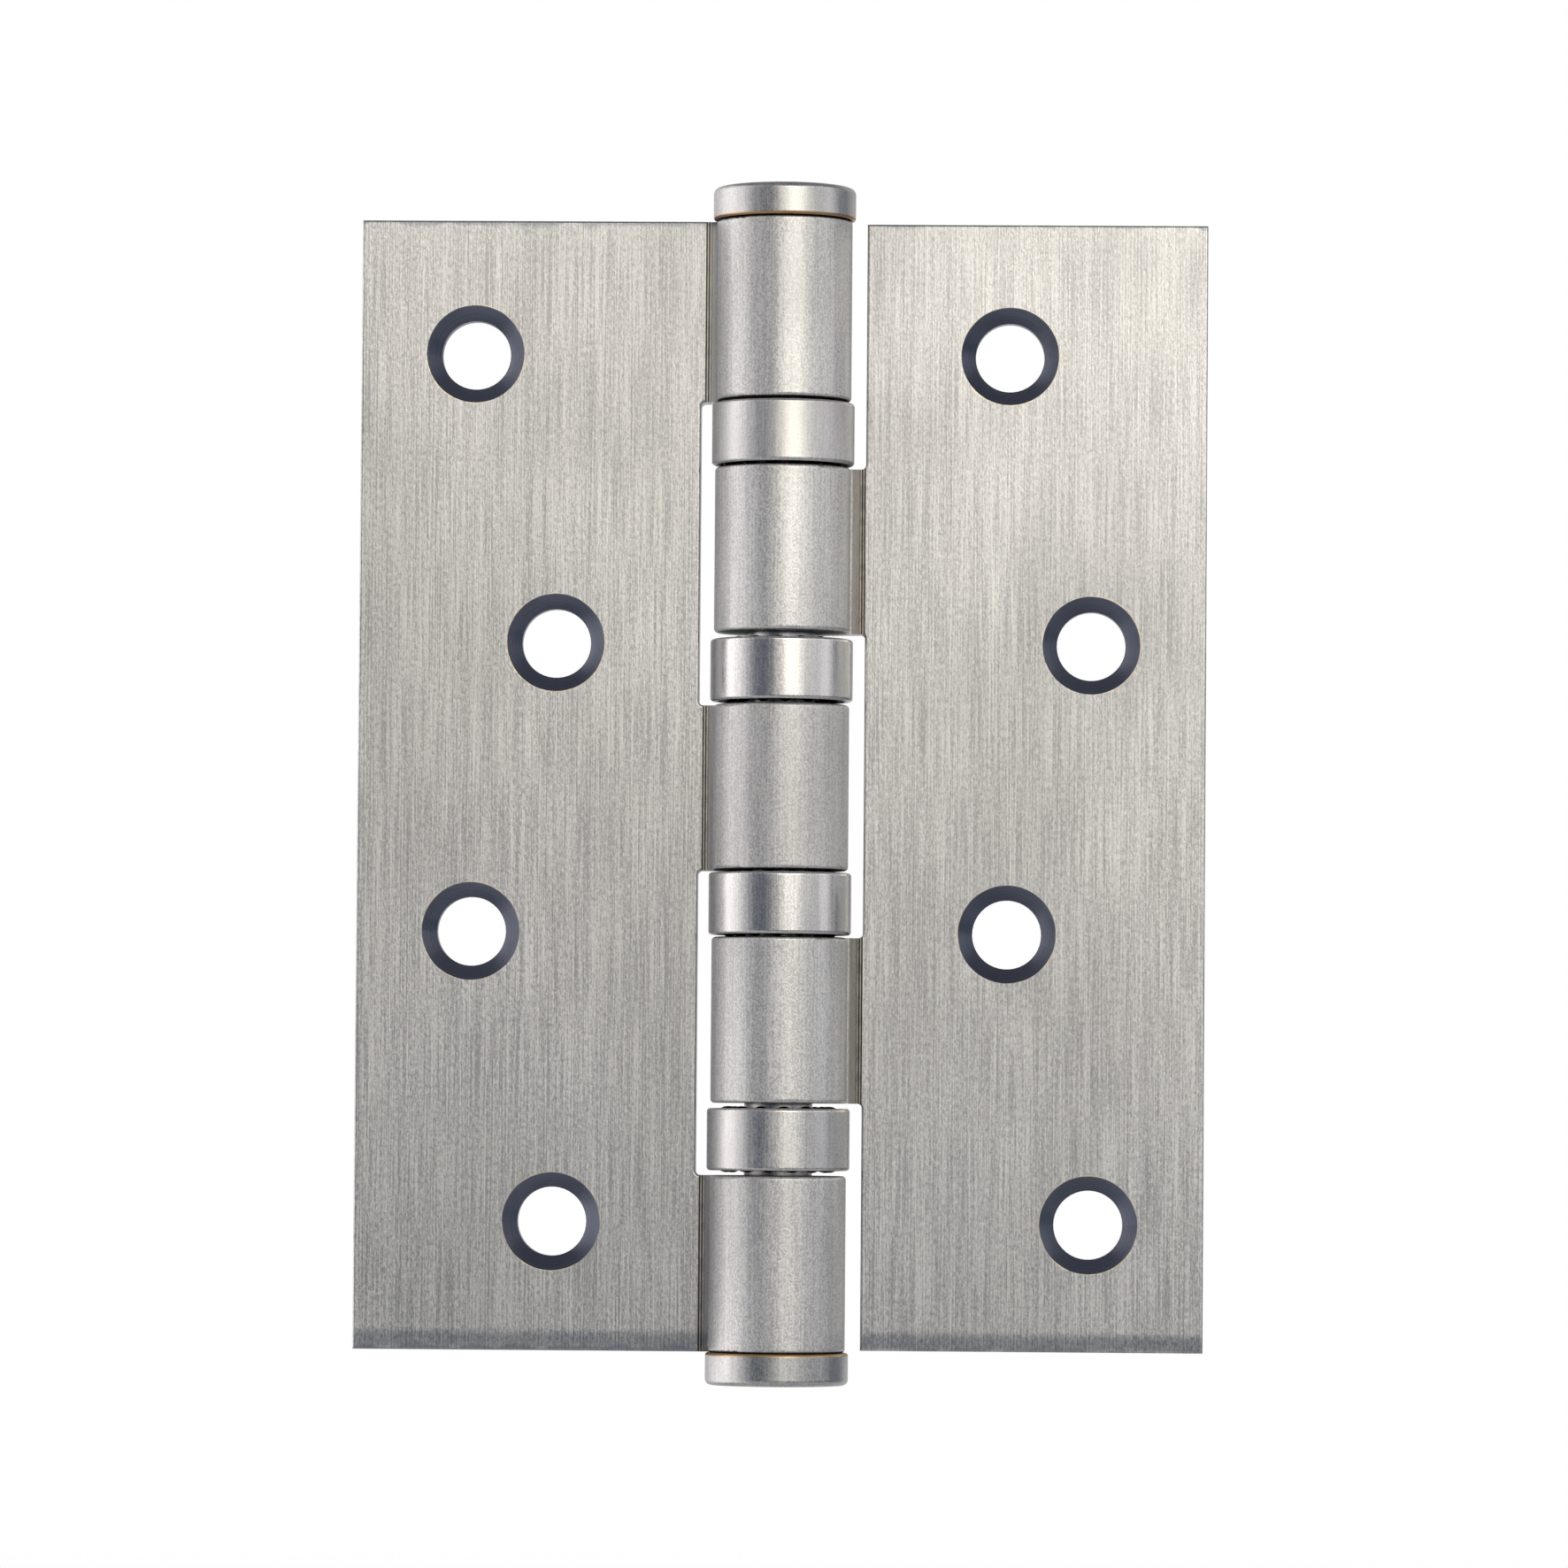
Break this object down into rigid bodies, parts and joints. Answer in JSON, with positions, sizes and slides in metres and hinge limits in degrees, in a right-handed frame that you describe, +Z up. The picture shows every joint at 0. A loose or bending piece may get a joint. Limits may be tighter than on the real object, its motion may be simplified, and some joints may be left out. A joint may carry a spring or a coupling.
{
  "type": "ball bearing butt hinge",
  "caption": "Full mortise butt hinge with two rectangular countersunk leaves, rolled knuckles, a headed pin and ball bearing rings between the knuckles.",
  "frame": {"origin": "on the pin's axis at the middle of the hinge's height", "axes": "+Z up along the pin, -Y out of the countersunk faces with the hinge lying open and flat, +X towards the right leaf's outer edge"},
  "size_m": [0.0762, 0.0128, 0.1074],
  "materials": {
    "brushed_leaf": "satin stainless steel with a fine grain along the leaf's height",
    "turned_steel": "satin stainless steel, turned",
    "bearing_shell": "satin stainless steel, polished a little brighter than the knuckles",
    "bearing_race": "oiled hardened steel",
    "bearing_ball": "polished bearing steel"
  },
  "bodies": {
    "fixed_leaf": {"left_leaf": "brushed_leaf", "hinge_pin": "turned_steel", "bottom_plug": "turned_steel"},
    "moving_leaf": {"right_leaf": "brushed_leaf"},
    "bearing_1_ring": {"bearing_1_shell": "bearing_shell", "bearing_1_race": "bearing_race"},
    "bearing_2_ring": {"bearing_2_shell": "bearing_shell", "bearing_2_race": "bearing_race"},
    "bearing_3_ring": {"bearing_3_shell": "bearing_shell", "bearing_3_race": "bearing_race"},
    "bearing_4_ring": {"bearing_4_shell": "bearing_shell", "bearing_4_race": "bearing_race"},
    "bearing_1_upper_row": {"bearing_1_upper_balls": "bearing_ball"},
    "bearing_1_lower_row": {"bearing_1_lower_balls": "bearing_ball"},
    "bearing_2_upper_row": {"bearing_2_upper_balls": "bearing_ball"},
    "bearing_2_lower_row": {"bearing_2_lower_balls": "bearing_ball"},
    "bearing_3_upper_row": {"bearing_3_upper_balls": "bearing_ball"},
    "bearing_3_lower_row": {"bearing_3_lower_balls": "bearing_ball"},
    "bearing_4_upper_row": {"bearing_4_upper_balls": "bearing_ball"},
    "bearing_4_lower_row": {"bearing_4_lower_balls": "bearing_ball"}
  },
  "joints": [
    {"name": "leaf_swing", "type": "hinge", "parent": "fixed_leaf", "child": "moving_leaf", "pos_m": [0, 0, 0], "axis": [0, 0, -1], "range_deg": [-90, 180]},
    {"name": "bearing_1_turn", "type": "hinge", "parent": "fixed_leaf", "child": "bearing_1_ring", "pos_m": [0, 0, 0.0315], "axis": [0, 0, -1], "range_deg": [-45, 90]},
    {"name": "bearing_2_turn", "type": "hinge", "parent": "fixed_leaf", "child": "bearing_2_ring", "pos_m": [0, 0, 0.0103], "axis": [0, 0, -1], "range_deg": [-45, 90]},
    {"name": "bearing_3_turn", "type": "hinge", "parent": "fixed_leaf", "child": "bearing_3_ring", "pos_m": [0, 0, -0.0107], "axis": [0, 0, -1], "range_deg": [-45, 90]},
    {"name": "bearing_4_turn", "type": "hinge", "parent": "fixed_leaf", "child": "bearing_4_ring", "pos_m": [0, 0, -0.0318], "axis": [0, 0, -1], "range_deg": [-45, 90]},
    {"name": "bearing_1_upper_roll", "type": "hinge", "parent": "fixed_leaf", "child": "bearing_1_upper_row", "pos_m": [0, 0, 0.0335], "axis": [0, 0, -1], "range_deg": [-22.5, 45]},
    {"name": "bearing_1_lower_roll", "type": "hinge", "parent": "fixed_leaf", "child": "bearing_1_lower_row", "pos_m": [0, 0, 0.0295], "axis": [0, 0, -1], "range_deg": [-67.5, 135]},
    {"name": "bearing_2_upper_roll", "type": "hinge", "parent": "fixed_leaf", "child": "bearing_2_upper_row", "pos_m": [0, 0, 0.0122], "axis": [0, 0, -1], "range_deg": [-67.5, 135]},
    {"name": "bearing_2_lower_roll", "type": "hinge", "parent": "fixed_leaf", "child": "bearing_2_lower_row", "pos_m": [0, 0, 0.0083], "axis": [0, 0, -1], "range_deg": [-22.5, 45]},
    {"name": "bearing_3_upper_roll", "type": "hinge", "parent": "fixed_leaf", "child": "bearing_3_upper_row", "pos_m": [0, 0, -0.0087], "axis": [0, 0, -1], "range_deg": [-22.5, 45]},
    {"name": "bearing_3_lower_roll", "type": "hinge", "parent": "fixed_leaf", "child": "bearing_3_lower_row", "pos_m": [0, 0, -0.0127], "axis": [0, 0, -1], "range_deg": [-67.5, 135]},
    {"name": "bearing_4_upper_roll", "type": "hinge", "parent": "fixed_leaf", "child": "bearing_4_upper_row", "pos_m": [0, 0, -0.0298], "axis": [0, 0, -1], "range_deg": [-67.5, 135]},
    {"name": "bearing_4_lower_roll", "type": "hinge", "parent": "fixed_leaf", "child": "bearing_4_lower_row", "pos_m": [0, 0, -0.0338], "axis": [0, 0, -1], "range_deg": [-22.5, 45]}
  ],
  "couplings": [
    {"joint": "bearing_1_turn", "follows": "leaf_swing", "ratio": 0.5},
    {"joint": "bearing_2_turn", "follows": "leaf_swing", "ratio": 0.5},
    {"joint": "bearing_3_turn", "follows": "leaf_swing", "ratio": 0.5},
    {"joint": "bearing_4_turn", "follows": "leaf_swing", "ratio": 0.5},
    {"joint": "bearing_1_upper_roll", "follows": "leaf_swing", "ratio": 0.25},
    {"joint": "bearing_1_lower_roll", "follows": "leaf_swing", "ratio": 0.75},
    {"joint": "bearing_2_upper_roll", "follows": "leaf_swing", "ratio": 0.75},
    {"joint": "bearing_2_lower_roll", "follows": "leaf_swing", "ratio": 0.25},
    {"joint": "bearing_3_upper_roll", "follows": "leaf_swing", "ratio": 0.25},
    {"joint": "bearing_3_lower_roll", "follows": "leaf_swing", "ratio": 0.75},
    {"joint": "bearing_4_upper_roll", "follows": "leaf_swing", "ratio": 0.75},
    {"joint": "bearing_4_lower_roll", "follows": "leaf_swing", "ratio": 0.25}
  ]
}
